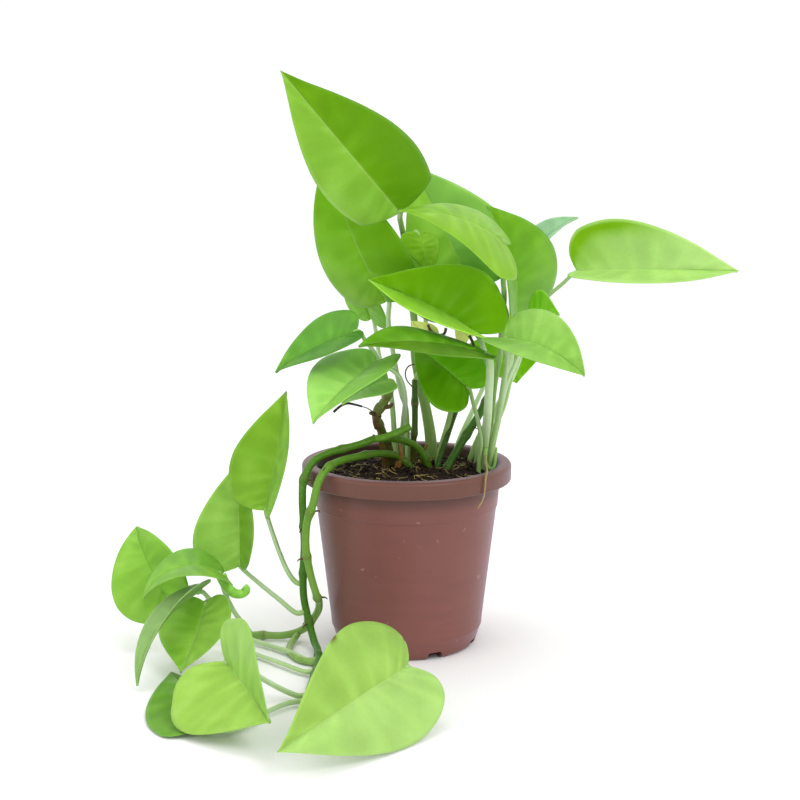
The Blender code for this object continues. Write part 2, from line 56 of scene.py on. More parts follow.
# junction, tip, facing, width, fold, bend, curl, twist, lobe, lean
LEAVES = {
    "top_left": ((-4, -18, 258), (-64, -94, 331), (-0.3, -0.9, 0.25), 59, -13, 6, 0.08, 9, 0.1, -0.03),
    "upper_left": ((-12, 18, 204), (-47, 6, 292), (-0.7, -0.7, 0.1), 69, 0, 28, 0.05, 16, 0.2, 0.07),
    "arching": ((55, -25, 241), (-4, -49, 260), (0.2, -0.53, 0.82), 59, 2, 46, 0.08, 17, 1.3, 0.2),
    "centre": ((42, -2, 187), (-22, -16, 220), (-0.6, -0.5, 0.82), 67, 38, 16, -0.04, -30, 1.9, 0.08),
    "back_upper": ((39, 50, 213), (3, 49, 285), (0.16, -0.93, 0.33), 72, 12, 14, 0.04, 0, 0.8, -0.06),
    "back_right": ((68, 44, 190), (48, 19, 261), (0.57, -0.58, 0.58), 77, 18, 41, 0.04, -4, 0.8, -0.18),
    "far_back": ((80, 82, 223), (107, 60, 253), (-0.42, -0.5, 0.76), 31, 21, 46, 0.02, 0, 0.8, 0.05),
    "far_right": ((101, 11, 223), (193, -4, 224), (-0.02, -0.57, 0.82), 59, 28, 4, -0.01, 21, 0.5, 0.07),
    "right": ((55, -33, 188), (98, -56, 170), (0.38, -0.55, 0.76), 55, 27, 50, 0.06, 23, 0.5, -0.09),
    "right_inner": ((72, 0, 193), (88, -14, 200), (-0.1, -0.8, 0.6), 38, 8, 14, 0.04, 0, 0.5, 0.1),
    "lower_right": ((61, 66, 176), (70, 54, 149), (0.2, -0.9, 0.4), 58, 9, 6, 0.03, 4, 0.8, 0.0),
    "lower_centre": ((36, -12, 156), (4, 3, 180), (0.25, -1.0, 0.22), 43, 16, 30, 0.03, 14, 1.3, 0.12),
    "front_level": ((45, -42, 180), (-27, -51, 186), (-0.26, -0.05, 0.97), 59, 8, 30, 0.12, -27, 0.3, -0.3),
    "left": ((-29, -21, 191), (-76, -21, 167), (-0.23, -0.4, 0.89), 44, 16, 22, 0.03, -6, 0.6, 0.0),
    "left_lower": ((-17, -28, 174), (-52, -64, 145), (-0.47, -0.48, 0.74), 56, 16, 22, 0.06, -5, 1.2, -0.18),
    "left_small": ((-11, -13, 162), (-38, -20, 148), (-0.25, -0.43, 0.87), 34, 10, 26, 0.06, 8, 0.5, 0.0),
    "back_left": ((-22, 51, 190), (-31, 26, 228), (-0.54, -0.79, 0.28), 33, 10, 15, 0.04, 0, 0.7, 0.0),
    "back_centre": ((7, 15, 245), (13, 9, 221), (0.69, -0.61, 0.4), 33, 2, 20, 0.05, 4, 0.3, 0.0),
    "trail_upright": ((-84, -13, 83), (-71, -10, 154), (-0.82, -0.52, 0.26), 58, 22, -8, 0.0, 22, 0.3, 0.1),
    "trail_side": ((-101, 1, 45), (-104, 21, 105), (-0.68, -0.72, 0.11), 55, 26, -2, 0.01, 18, 0.5, 0.12),
    "trail_outer": ((-142, -18, 31), (-165, 11, 67), (-0.44, -0.8, 0.41), 53, 24, 55, 0.03, 1, 1.1, 0.07),
    "trail_arching": ((-108, -32, 50), (-151, -48, 40), (0.03, -0.17, 0.99), 41, 9, 108, 0.04, 5, 0.8, -0.05),
    "trail_drooping": ((-120, -42, 43), (-148, -90, 4), (-0.68, -0.25, 0.69), 28, 22, 52, 0.02, -3, 0.8, 0.0),
    "trail_shaded": ((-116, -43, 36), (-125, -82, 9), (-0.36, -0.89, 0.29), 45, 2, -16, 0.05, -13, 0.9, -0.2),
    "trail_floor": ((-102, -143, 4), (-133, -66, 3), (-0.05, -0.05, 1.0), 44, 0, 3, 0.02, 3, 0.5, 0.22),
    "trail_front": ((-94, -126, 31), (-67, -176, 19), (-0.54, -0.7, 0.47), 74, 31, -12, 0.07, 8, 1.8, -0.14),
    "vine_end": ((0, -130, 30), (-60, -208, 18), (0.34, -0.69, 0.64), 68, 10, 11, 0.10, -23, 1.0, 0.0),
}

# Each blade's colour on its two halves, as seen in daylight (0 to 255), with painted light and shade: a half
# is lighter or darker by how the light falls on it.
LIT_LOOKS = {
    "top_left": ((128, 176, 56), (88, 139, 1)),
    "upper_left": ((96, 154, 2), (92, 148, 2)),
    "arching": ((120, 170, 30), (112, 164, 32)),
    "centre": ((154, 212, 56), (110, 168, 2)),
    "back_upper": ((122, 174, 50), (120, 172, 74)),
    "back_right": ((92, 150, 16), (92, 150, 16)),
    "far_back": ((142, 182, 146), (142, 182, 146)),
    "far_right": ((164, 200, 118), (150, 192, 98)),
    "right": ((130, 176, 78), (124, 174, 72)),
    "right_inner": ((112, 176, 34), (104, 168, 24)),
    "lower_right": ((112, 174, 12), (108, 170, 12)),
    "lower_centre": ((87, 149, 4), (93, 163, 12)),
    "front_level": ((76, 124, 6), (92, 151, 24)),
    "left": ((64, 126, 30), (88, 148, 50)),
    "left_lower": ((120, 176, 68), (138, 196, 86)),
    "left_small": ((156, 206, 106), (132, 188, 96)),
    "back_left": ((100, 164, 14), (100, 164, 16)),
    "back_centre": ((108, 162, 14), (108, 164, 2)),
    "trail_upright": ((114, 162, 40), (106, 156, 46)),
    "trail_side": ((138, 182, 78), (98, 148, 30)),
    "trail_outer": ((124, 172, 62), (112, 166, 48)),
    "trail_arching": ((110, 162, 54), (106, 160, 54)),
    "trail_drooping": ((124, 160, 92), (126, 162, 96)),
    "trail_shaded": ((126, 172, 64), (122, 174, 52)),
    "trail_floor": ((88, 142, 36), (82, 134, 28)),
    "trail_front": ((130, 174, 74), (142, 184, 74)),
    "vine_end": ((156, 194, 106), (140, 178, 80)),
}

# Brown nicks in a blade's edge: side, place round the outline and size.
NICKS = {"vine_end": ((-1, 0.54, 0.012), (-1, 0.18, 0.01))}

# Painted shade: a darker green at the stalk's end that fades out along one half of a blade, towards its
# lighter, sheened tip: side and colour.
PAINTED_STALK_SHADE = {
    "far_right": (1, (104, 154, 4)),
    "top_left": (-1, (82, 134, 0)),
    "centre": (-1, (99, 156, 0)),
    "upper_left": (-1, (88, 144, 0)),
}

# Small unopened blades between the stalks, with their colours: pale, and brightened as painted back light
# against the shade of the centre blade.
YOUNG_BACKLIT_BLADES = (
    (
        ((14, 8, 181), (3, 4, 194), (0.1, -0.95, 0.3), 17, 6, 20, 0.0, 10, 0.3, 0.0),
        ((240, 248, 150), (234, 244, 144)),
    ),
    (
        ((38, 24, 181), (29, 19, 192), (-0.1, -0.95, 0.3), 14, 6, 20, 0.0, -10, 0.3, 0.0),
        ((240, 246, 152), (234, 244, 146)),
    ),
)

# radius at the blade, radius at the root, route from the blade, whether it is rooted in soil
PETIOLES = {
    "top_left": (1.6, 3.3, ((-4, -3, 254), (-2, 12, 244), (0, 18, 230), (3, 22, 205), (5, 23, 188),
        (5, 25, 171), (8, 26, 154), (12, 26, 137), (15, 25, 118), (16, 25, 96)), True),
    "upper_left": (1.6, 1.7, ((-11, 17, 193), (-9, 19, 178), (-6, 20, 161), (-3, 21, 147), (0, 21, 135),
        (1, 21, 96)), True),
    "arching": (1.6, 1.8, ((56, -5, 221), (58, 12, 206), (57, 15, 188), (56, 14, 172), (53, 12, 155),
        (51, 13, 134), (49, 13, 118), (47, 13, 96)), True),
    "centre": (1.6, 1.8, ((45, -1, 179), (48, 4, 168), (49, 8, 158)), False),
    "back_upper": (1.6, 1.8, ((38, 48, 200), (36, 42, 187), (33, 33, 171), (30, 22, 152), (26, 16, 133),
        (20, 12, 112), (18, 11, 96)), True),
    "back_right": (1.6, 1.8, ((66, 42, 172), (61, 32, 150), (52, 27, 128), (45, 25, 112), (43, 25, 96)),
        True),
    "far_back": (1.2, 1.5, ((79, 74, 205), (78, 66, 188), (71, 50, 164), (61, 39, 145), (45, 32, 119),
        (37, 30, 96)), True),
    "far_right": (1.3, 1.7, ((93, 14, 215), (83, 17, 205), (73, 20, 187), (65, 21, 163), (59, 19, 139),
        (50, 18, 118), (48, 18, 96)), True),
    "right": (1.6, 1.8, ((57, -31, 178), (56, -17, 158), (54, -8, 137), (51, 0, 118), (50, 1, 96)), True),
    "right_inner": (1.3, 1.5, ((68, 5, 177), (60, 9, 155), (56, 9, 137), (52, 8, 118), (51, 8, 96)),
        True),
    "lower_right": (1.5, 1.7, ((60, 73, 166), (52, 67, 150), (42, 50, 132), (32, 36, 112), (30, 33, 96)),
        True),
    "lower_centre": (1.3, 1.5, ((39, -9, 147), (42, -9, 136), (44, -8, 124), (43, -5, 112), (43, -5, 96)),
        True),
    "front_level": (1.9, 2.3, ((47, -35, 168), (47, -25, 152), (47, -12, 135), (46, 0, 117), (46, 7, 96)),
        True),
    "left": (1.4, 1.6, ((-24, -12, 184), (-19, 2, 175), (-15, 8, 164), (-14, 4, 151)), False),
    "left_lower": (1.6, 1.7, ((-5, -21, 165), (-1, -8, 150), (-2, 6, 133), (-3, 13, 118), (-3, 15, 96)),
        True),
    "back_left": (1.4, 1.6, ((-19, 52, 181), (-17, 42, 169), (-13, 33, 155), (-9, 28, 142), (-6, 26, 96)),
        True),
    "back_centre": (1.4, 1.6, ((10, 19, 239), (11, 24, 220), (11, 26, 200), (12, 24, 184), (11, 19, 170),
        (6, 15, 159)), False),
    "trail_upright": (1.5, 1.7, ((-81, -12, 73), (-76, -13, 58), (-71, -16, 47), (-66, -19, 41)), False),
    "trail_side": (1.5, 1.7, ((-89, -3, 35), (-77, -11, 28), (-66, -19, 22)), False),
    "trail_outer": (1.4, 1.6, ((-132, -15, 22), (-119, -13, 13), (-108, -8, 6)), False),
    "trail_arching": (1.5, 1.7, ((-107, -28, 38), (-102, -20, 22), (-95, -13, 9)), False),
    "trail_drooping": (1.5, 1.7, ((-116, -35, 37), (-107, -27, 22), (-97, -20, 8), (-89, -17, 3),
        (-70, -33, 3), (-58, -47, 3)), False),
    "trail_shaded": (1.4, 1.6, ((-110, -40, 28), (-100, -37, 10), (-91, -35, 3), (-72, -53, 3),
        (-58, -66, 3)), False),
    "trail_floor": (1.4, 1.6, ((-97, -150, 3), (-84, -145, 3), (-73, -124, 3), (-64, -113, 3),
        (-58, -110, 3)), False),
    "trail_front": (1.6, 1.7, ((-90, -114, 26), (-80, -102, 14), (-69, -101, 7), (-59, -102, 3)), False),
    "vine_end": (1.7, 2.0, ((3, -120, 22), (-2, -108, 9), (-18, -100, 4), (-34, -106, 3), (-46, -112, 3)),
        False),
}

# radius, route from the root
STEMS = {
    "vine_upper": (2.5, ((14, 6, 96), (13, 6, 106), (8, 4, 116), (0, 0, 122), (-10, -6, 125),
        (-19, -13, 126), (-27, -18, 124), (-37, -22, 122), (-46, -26, 120), (-54, -31, 116),
        (-59, -36, 107), (-60, -35, 95), (-60, -30, 81), (-60, -25, 65), (-61, -22, 49), (-61, -20, 32),
        (-58, -19, 16), (-55, -23, 6), (-52, -34, 3.5), (-51, -54, 3.5), (-52, -79, 3.5),
        (-53, -100, 3.5), (-51, -116, 3.5))),
    "vine_lower": (2.5, ((5, 2, 96), (2, 1, 106), (-4, 0, 112), (-10, -4, 115), (-19, -12, 117),
        (-29, -21, 117), (-38, -32, 117), (-45, -42, 115), (-50, -48, 108), (-53, -49, 96),
        (-57, -44, 83), (-58, -39, 67), (-56, -33, 50), (-53, -28, 36), (-52, -19, 28), (-54, -11, 19),
        (-62, -7, 8), (-74, -6, 3.5), (-88, -6, 3.5), (-101, -6, 3.5))),
    "stem_left": (2.7, ((-10, 9, 96), (-11, 7, 117), (-15, 3, 128), (-18, 0, 138), (-13, -2, 147),
        (-10, -7, 155), (-10, -11, 159))),
    "stem_middle": (2.1, ((5, 14, 96), (4, 14, 116), (5, 14, 129), (5, 14, 145), (5, 14, 157))),
    "stem_right": (2.6, ((20, -4, 96), (24, -2, 106), (33, 2, 121), (43, 4, 137), (50, 5, 151))),
}


def unit(v):
    return v / np.linalg.norm(v)


def toward(tint, goal, amount):
    """The colours moved toward the goal by this share of the way."""
    return tint + (goal - tint) * amount


def linear(rgb):
    """A 0-255 screen colour as the renderer's linear colour."""
    c = np.asarray(rgb, float) / 255.0
    return np.where(c <= 0.04045, c / 12.92, ((c + 0.055) / 1.055) ** 2.4)


def curve_at(points, share):
    """Points at these shares (0 to 1) of a Catmull-Rom curve through the points."""
    pts = np.asarray(points, float)
    last = len(pts) - 1
    place = np.clip(np.asarray(share, float), 0.0, 1.0) * last
    i = np.minimum(place.astype(int), last - 1)
    t = (place - i)[..., None]
    a, b, c, d = pts[np.maximum(i - 1, 0)], pts[i], pts[i + 1], pts[np.minimum(i + 2, last)]
    return 0.5 * (2 * b + (c - a) * t + (2 * a - 5 * b + 4 * c - d) * t**2 + (3 * b - a - 3 * c + d) * t**3)


def fractal(points, scale, depth=3):
    """Smooth noise from about -1 to 1 at each point."""
    return np.array([noise.fractal(tuple(p * scale), 1.0, 2.0, depth) for p in points])


# ------ materials


class Nodes:
    """A short way to write a material's nodes."""

    def __init__(self, name):
        self.material = bpy.data.materials.new(name)
        self.material.use_nodes = True
        self.tree = self.material.node_tree
        self.shader = self.tree.nodes["Principled BSDF"]

    def node(self, kind, inputs=None, **settings):
        made = self.tree.nodes.new(kind)
        for key, value in settings.items():
            setattr(made, key, value)
        for key, value in (inputs or {}).items():
            self.put(made.inputs[key], value)
        return made

    def put(self, socket, value):
        if isinstance(value, bpy.types.NodeSocket):
            self.tree.links.new(value, socket)
        else:
            socket.default_value = value

    def set(self, **inputs):
        for key, value in inputs.items():
            self.put(self.shader.inputs[key.replace("_", " ")], value)

    def coordinates(self):
        return self.node("ShaderNodeTexCoord").outputs["Object"]

    def noise(self, scale, detail, roughness, vector=None):
        inputs = {"Scale": scale, "Detail": detail, "Roughness": roughness}
        inputs["Vector"] = vector or self.coordinates()
        return self.node("ShaderNodeTexNoise", inputs).outputs["Fac"]

    def range(self, value, low, high, to_low, to_high):
        inputs = {"Value": value, "From Min": low, "From Max": high, "To Min": to_low, "To Max": to_high}
        return self.node("ShaderNodeMapRange", inputs).outputs["Result"]

    def math(self, operation, a, b):
        made = self.node("ShaderNodeMath", operation=operation)
        self.put(made.inputs[0], a)
        self.put(made.inputs[1], b)
        return made.outputs[0]

    def mix(self, factor, a, b, blend="MIX"):
        made = self.node("ShaderNodeMix", data_type="RGBA", blend_type=blend)
        self.put(made.inputs[0], factor)
        self.put(made.inputs[6], a)
        self.put(made.inputs[7], b)
        return made.outputs[2]

    def scaled(self, colour, red, green, blue):
        """The colour with each of its channels multiplied."""
        return self.mix(1.0, colour, (red, green, blue, 1.0), "MULTIPLY")

    def mapped(self, vector, **settings):
        """The vector turned and scaled."""
        return self.node("ShaderNodeMapping", {"Vector": vector, **settings}).outputs[0]

    def painted(self, name, output="Color"):
        return self.node("ShaderNodeAttribute", attribute_name=name).outputs[output]

    def bump(self, height, strength, distance, below=None):
        inputs = {"Height": height, "Strength": strength, "Distance": distance}
        if below is not None:
            inputs["Normal"] = below
        return self.node("ShaderNodeBump", inputs).outputs["Normal"]


def rgba(rgb):
    return (*[float(c) for c in linear(rgb)], 1.0)


def leaf_material(name, under):
    """A waxy leaf: its painted colour, mottled, with fine veins in relief and a little light through it."""
    m = Nodes(name)
    tint = m.painted("tint")
    vein = m.painted("vein", "Fac")
    mottle = m.noise(55.0, 4.0, 0.6)
    fine = m.noise(420.0, 3.0, 0.6)
    lighter = m.mix(m.range(mottle, 0.35, 0.7, 0.0, 0.5), tint, m.scaled(tint, 1.22, 1.14, 1.2))
    shade = m.mix(m.range(fine, 0.4, 0.75, 0.0, 0.22), lighter, m.scaled(lighter, 0.72, 0.84, 0.7))
    m.set(Base_Color=shade)
    waxy, dull = (0.55, 0.7) if under else (0.34, 0.52)
    patches = m.math("ADD", mottle, m.math("MULTIPLY", fine, 0.6))
    m.set(Roughness=m.range(patches, 0.5, 1.15, waxy, dull))
    pattern = {"Vector": m.coordinates(), "Scale": 900.0}
    cells = m.node("ShaderNodeTexVoronoi", pattern, feature="DISTANCE_TO_EDGE")
    pores = m.bump(cells.outputs["Distance"], 0.25, 0.0001)
    relief = m.math("ADD", vein, m.math("MULTIPLY", mottle, 0.9))
    m.set(Normal=m.bump(relief, 0.5, 0.0004, pores))
    m.set(Subsurface_Weight=0.22, Subsurface_Scale=0.0022, Subsurface_Radius=(0.55, 1.0, 0.18))
    m.set(Specular_IOR_Level=0.2 if under else 0.3, Specular_Tint=(0.75, 0.92, 0.2, 1.0))
    return m.material


def stalk_material(name):
    """A smooth stalk: its painted colour with lengthwise streaks and small pale flecks."""
    m = Nodes(name)
    tint = m.painted("tint")
    streak = m.painted("streak", "Fac")
    mottle = m.noise(160.0, 4.0, 0.65)
    cells = m.node("ShaderNodeTexVoronoi", {"Vector": m.coordinates(), "Scale": 620.0})
    fleck = m.range(cells.outputs["Distance"], 0.1, 0.2, 0.35, 0.0)
    lines = m.range(m.math("ADD", mottle, streak), 0.5, 1.3, 0.0, 0.5)
    streaked = m.mix(lines, tint, m.scaled(tint, 0.68, 0.78, 0.6))
    m.set(Base_Color=m.mix(fleck, streaked, rgba((205, 220, 160))))
    m.set(Roughness=m.range(mottle, 0.35, 0.7, 0.3, 0.5))
    m.set(Normal=m.bump(m.math("ADD", streak, mottle), 0.5, 0.0003))
    m.set(Subsurface_Weight=0.25, Subsurface_Scale=0.002, Subsurface_Radius=(0.6, 1.0, 0.3))
    m.set(Specular_IOR_Level=0.4, Specular_Tint=(0.85, 0.92, 0.6, 1.0))
    return m.material


def pot_material():
    """Moulded plastic: brownish red with faint flow marks, pale specks, scuffs and fine scratches."""
    m = Nodes("pot_plastic")
    where = m.coordinates()
    broad = m.noise(9.0, 3.0, 0.6, where)
    fine = m.noise(900.0, 2.0, 0.5, where)
    flow = m.noise(14.0, 4.0, 0.6, m.mapped(where, Scale=(1.0, 1.0, 9.0)))
    base = m.mix(m.range(broad, 0.3, 0.7, 0.0, 1.0), rgba((112, 66, 60)), rgba((128, 77, 69)))
    base = m.mix(m.range(flow, 0.45, 0.75, 0.0, 0.35), base, rgba((104, 60, 55)))
    specks = m.node("ShaderNodeTexVoronoi", {"Vector": where, "Scale": 95.0, "Randomness": 1.0})
    pick = m.node("ShaderNodeSeparateColor", {"Color": specks.outputs["Color"]}).outputs[0]
    few = m.range(pick, 0.95, 0.96, 0.0, 0.35)
    speck = m.math("MULTIPLY", m.range(specks.outputs["Distance"], 0.06, 0.1, 1.0, 0.0), few)
    base = m.mix(speck, base, rgba((206, 172, 160)))
    slanting = m.mapped(where, Rotation=(0.5, 0.3, 0.2), Scale=(60.0, 4.0, 60.0))
    scratch = m.range(m.noise(3.0, 2.0, 0.5, slanting), 0.72, 0.76, 0.0, 0.28)
    base = m.mix(scratch, base, rgba((186, 140, 130)))
    # Height and distance from the pot's axis, in metres, place a darker band on the rim, and painted shade
    # with a soil stain on the inside.
    height = m.node("ShaderNodeSeparateXYZ", {"Vector": where}).outputs[2]
    level = m.mapped(where, Scale=(1.0, 1.0, 0.0))
    reach = m.node("ShaderNodeVectorMath", {"Vector": level}, operation="LENGTH").outputs["Value"]
    # A darker band round the rim's outer face.
    above_edge = m.range(height, 0.0995, 0.101, 0.0, 0.6)
    rim = m.math("MULTIPLY", above_edge, m.range(height, 0.1085, 0.1105, 1.0, 0.35))
    base = m.mix(rim, base, rgba((86, 54, 38)))
    # Painted shade on the inner wall above the soil, mixed with a soil stain.
    near_top = m.range(height, 0.09, 0.1, 0.0, 1.0)
    inside = m.math("MULTIPLY", m.range(reach, 0.0562, 0.0572, 1.0, 0.0), near_top)
    shade_and_soil = m.math("MULTIPLY", inside, m.range(broad, 0.2, 0.7, 0.45, 0.85))
    base = m.mix(shade_and_soil, base, rgba((62, 38, 30)))
    m.set(Base_Color=base)
    m.set(Roughness=m.range(m.math("ADD", broad, fine), 0.7, 1.3, 0.36, 0.5))
    m.set(Normal=m.bump(m.math("ADD", fine, m.math("MULTIPLY", flow, 0.6)), 0.22, 0.00012))
    m.set(Specular_IOR_Level=0.4, Sheen_Weight=0.3, Sheen_Roughness=0.35, Sheen_Tint=(0.75, 0.68, 1.0, 1.0))
    return m.material


def soil_material():
    """Damp coco-peat: dark crumbs of several browns."""
    m = Nodes("soil_mix")
    tint = m.painted("tint")
    broad = m.noise(90.0, 4.0, 0.7)
    fine = m.noise(1400.0, 4.0, 0.7)
    base = m.mix(m.range(broad, 0.3, 0.62, 0.15, 0.95), tint, m.scaled(tint, 0.38, 0.36, 0.36))
    base = m.mix(m.range(fine, 0.55, 0.75, 0.0, 0.7), base, m.scaled(tint, 2.2, 2.0, 1.8))
    m.set(Base_Color=base, Roughness=m.range(fine, 0.3, 0.7, 0.75, 0.98), Specular_IOR_Level=0.3)
    m.set(Normal=m.bump(m.math("ADD", broad, fine), 0.9, 0.0009))
    return m.material


def floor_material():
    """Plain matt paper."""
    m = Nodes("floor_paper")
    paper = m.mix(m.noise(3.0, 2.0, 0.5), (0.93, 0.93, 0.93, 1.0), (0.955, 0.955, 0.955, 1.0))
    m.set(Base_Color=paper, Roughness=0.9, Specular_IOR_Level=0.1)
    return m.material


LEAF_TOP = leaf_material("leaf_upper_side", False)
LEAF_UNDER = leaf_material("leaf_under_side", True)
STALK = stalk_material("stalk_skin")
SOIL = soil_material()
POT = pot_material()


# ------ meshes


def scene_object(name, data):
    obj = bpy.data.objects.new(name, data)
    bpy.context.scene.collection.objects.link(obj)
    return obj


def mesh_object(name, points, faces, materials, tint, slots=None, smooth=True, **floats):
    """An object from points in millimetres, with a painted colour and other values at its points."""
    mesh = bpy.data.meshes.new(name)
    mesh.from_pydata((np.asarray(points) * MM).tolist(), [], [list(map(int, f)) for f in faces])
    for made in materials:
        mesh.materials.append(made)
    if slots is not None:
        mesh.polygons.foreach_set("material_index", np.asarray(slots, np.int32))
    layer = mesh.attributes.new("tint", "FLOAT_COLOR", "POINT")
    colour = np.ones((len(points), 4), np.float32)
    colour[:, :3] = tint
    layer.data.foreach_set("color", colour.ravel())
    for key, values in floats.items():
        mesh.attributes.new(key, "FLOAT", "POINT").data.foreach_set("value", np.asarray(values, np.float32))
    if smooth:
        mesh.shade_smooth()
    mesh.update()
    return scene_object(name, mesh)


def heading(path):
    """The direction of travel at each point of a path."""
    ahead = np.gradient(path, axis=0)
    return ahead / np.linalg.norm(ahead, axis=1)[:, None]


def frames(path, ahead, up):
    """Each point of a path with two directions square to it, which turn as little as they can."""
    across = np.cross(ahead[0], up)
    for centre, along in zip(path, ahead):
        across = unit(across - along * (across @ along))
        yield centre, across, np.cross(along, across)


def quads(rings, sides, first=0):
    """The faces between neighbouring rings of points that are numbered one ring after another."""
    faces = []
    for a in range(first, first + (rings - 1) * sides, sides):
        for j in range(sides):
            k = (j + 1) % sides
            faces.append((a + j, a + k, a + sides + k, a + sides + j))
    return faces


def place(obj, node, slot=None):
    """The piece rides on the part's one body, and stands for the CAD node if one is given."""
    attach(obj, "root")
    if node:
        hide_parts(node)


# ------ leaves

ALONG = 60
ACROSS = 15
BLADE_HALF = 0.27
KEEL = 0.75
VEINS = 8.5
USUAL_WIDTH = 60.0
UNDER_TINT = linear((158, 196, 120))
RIB_TINT = linear((176, 214, 120))
PAINTED_SHEEN_TINT = linear((176, 212, 128))
NICK_TINT = linear((96, 70, 36))
NO_PAINTED_STALK_SHADE = (0, (0, 0, 0))


def grain(*axes):
    """Smooth noise over an array of places, from about -1 to 1."""
    places = np.stack(np.broadcast_arrays(*axes), -1)
    flat = places.reshape(-1, 3)
    return np.array([noise.noise(tuple(q)) for q in flat]).reshape(places.shape[:-1]) * 1.4


def blade_points(leaf, share, rib, side, lift, wave):
    """Points of a blade's middle surface. lift raises it out of the blade's plane, in millimetres."""
    base, tip, face = (np.array(v, float) for v in leaf[:3])
    width, fold, bend, curl, twist, lobe, lean = leaf[3:10]
    along = unit(tip - base)
    up = unit(face - along * (face @ along))
    across = np.cross(up, along)
    chord = np.linalg.norm(tip - base)
    bend = math.radians(bend) or 1e-4
    length = 0.5 * chord * bend / math.sin(0.5 * bend)
    edge = curve_at(OUTLINE, share)
    u_edge = np.where(edge[..., 0] < 0, edge[..., 0] * lobe, edge[..., 0])
    on_rib = share**1.5
    u = on_rib + (u_edge - on_rib) * rib
    reach = edge[..., 1] * rib * width * (1 + side * lean)
    fold = math.radians(fold)
    y = side * reach * math.cos(fold)
    z = reach * math.sin(fold) - curl * width * (reach / (0.5 * width)) ** 2 + lift + wave
    turn = math.radians(twist) * u
    y, z = y * np.cos(turn) - z * np.sin(turn), y * np.sin(turn) + z * np.cos(turn)
    slope = bend * (u - 0.5)
    x = length * (np.sin(slope) + math.sin(0.5 * bend)) / bend + z * np.sin(slope)
    z = length * (np.cos(slope) - math.cos(0.5 * bend)) / bend + z * np.cos(slope)
    return base + x[..., None] * along + y[..., None] * across + z[..., None] * up, reach


def half_blade(leaf, lit_looks, k, share, rib, phase, seed, nicks, stalk_shade):
    """One half's points, colours and vein relief on a grid: along the blade, then out from the rib."""
    side = 1 - 2 * k
    scale = leaf[3] / USUAL_WIDTH
    small = min(1.0, scale)
    swell = np.sin(math.pi * share) ** 0.5
    drift = share * VEINS + 0.3 * np.sin(5.0 * share + phase[4])
    streaks = grain(share * 16.0, rib * 2.2, seed + 7 * k)
    uneven = grain(share * 3.0, rib * 2.0, seed + 31 + k)

    # Shape: a groove over the midrib, soft puckers between the side veins and a wavy edge.
    ribbed = 0.16 * np.cos(math.tau * drift) * (0.7 + 0.6 * uneven) + 0.2 * streaks
    pucker = small * ribbed * np.sin(math.pi * rib) ** 0.7 * swell
    long_wave = 0.35 * np.sin(math.tau * 1.6 * share + phase[k])
    short_wave = 0.16 * np.sin(math.tau * 3.7 * share + phase[k + 2])
    wave = scale * (long_wave + short_wave) * rib**2.2 * swell
    from_rib = curve_at(OUTLINE, share)[..., 1] * rib * leaf[3]
    groove = -0.4 * np.exp(-((from_rib / 1.1) ** 2)) * (1 - 0.6 * share)
    points, reach = blade_points(leaf, share, rib, side, groove + pucker, wave)

    # Colour: uneven green, a painted sheen, painted shade near the stalk, pale veins, edge and nicks.
    line = np.exp(-((reach / (0.35 + 0.4 * (1 - share))) ** 2))
    soft = 0.5 + 0.5 * np.cos(math.tau * drift)
    tint = lit_looks[k] * (1.0 + 0.08 * soft**3 + 0.1 * uneven + 0.07 * streaks)[..., None]
    # Painted sheen: pale streaks of highlight, stronger near the edge and on brighter blades.
    sheen_mask = np.clip(0.55 * streaks + 0.5 * uneven + 0.25 * rib - 0.1, 0, 1)[..., None]
    bright = np.clip((lit_looks[k][1] - 0.25) / 0.25, 0, 1)
    sheen = PAINTED_SHEEN_TINT * (1.0, 1.0, 0.25 + 0.75 * bright)
    tint = toward(tint, lit_looks[k] * 0.55 + sheen * 0.45, (0.25 + 0.45 * bright) * sheen_mask)
    # Painted shade: a darker green near the stalk on one half, fading out towards the tip.
    if side == stalk_shade[0]:
        fade = np.clip(3.1 - 4.3 * share, 0, 1) * np.clip(0.15 + 1.6 * rib, 0, 1)
        fade = np.clip(fade * (0.85 + 0.5 * uneven), 0, 1)
        tint = toward(tint, linear(stalk_shade[1]), fade[..., None])
    blend = np.clip(0.5 + reach / 2.4, 0, 1)[..., None]
    tint = toward(0.5 * (lit_looks[0] + lit_looks[1]), tint, blend)
    tint = toward(tint, RIB_TINT, (0.14 + 0.2 * bright) * line[..., None])
    feather = soft**5 * np.exp(-((rib / 0.5) ** 2)) * np.clip(0.7 + 0.9 * uneven, 0, 1.2) * small**2
    tint = toward(tint, RIB_TINT, (0.02 + 0.2 * bright) * feather[..., None])
    rim = np.clip((rib - 0.975) / 0.025, 0, 1)[..., None]
    tint = toward(tint, 1.25 * lit_looks[k] + 0.04, 0.5 * rim)
    for nick_side, nick_share, wide in nicks:
        if nick_side == side:
            spot = np.exp(-(((share - nick_share) / wide) ** 2) - (((1 - rib) / 0.06) ** 2))
            tint = toward(tint, NICK_TINT, np.clip(1.6 * spot, 0, 1)[..., None])
    return points, tint, 0.35 * soft * np.sin(math.pi * rib) ** 0.5 - 1.2 * line


def joined(halves):
    """Both halves as one sheet: the number of each grid place, then points, colours and veins."""
    index = np.zeros((2, ALONG + 1, ACROSS + 1), int)
    kept = []
    for k, half in enumerate(halves):
        for i in range(ALONG + 1):
            for j in range(ACROSS + 1):
                if j > 0 and i in (0, ALONG):
                    index[k, i, j] = index[k, i, 0]
                elif j == 0 and k == 1:
                    index[k, i, j] = index[0, i, 0]
                else:
                    index[k, i, j] = len(kept)
                    kept.append([values[i, j] for values in half])
    return index, *(np.array(column) for column in zip(*kept))


def sheet_faces(index):
    """The faces of both halves, without repeated corners at the junction and the tip."""
    faces = []
    for k in range(2):
        for i in range(ALONG):
            for j in range(ACROSS):
                quad = [index[k, i, j], index[k, i + 1, j], index[k, i + 1, j + 1], index[k, i, j + 1]]
                faces.append(list(dict.fromkeys(quad if k == 0 else quad[::-1])))
    return [f for f in faces if len(f) > 2]


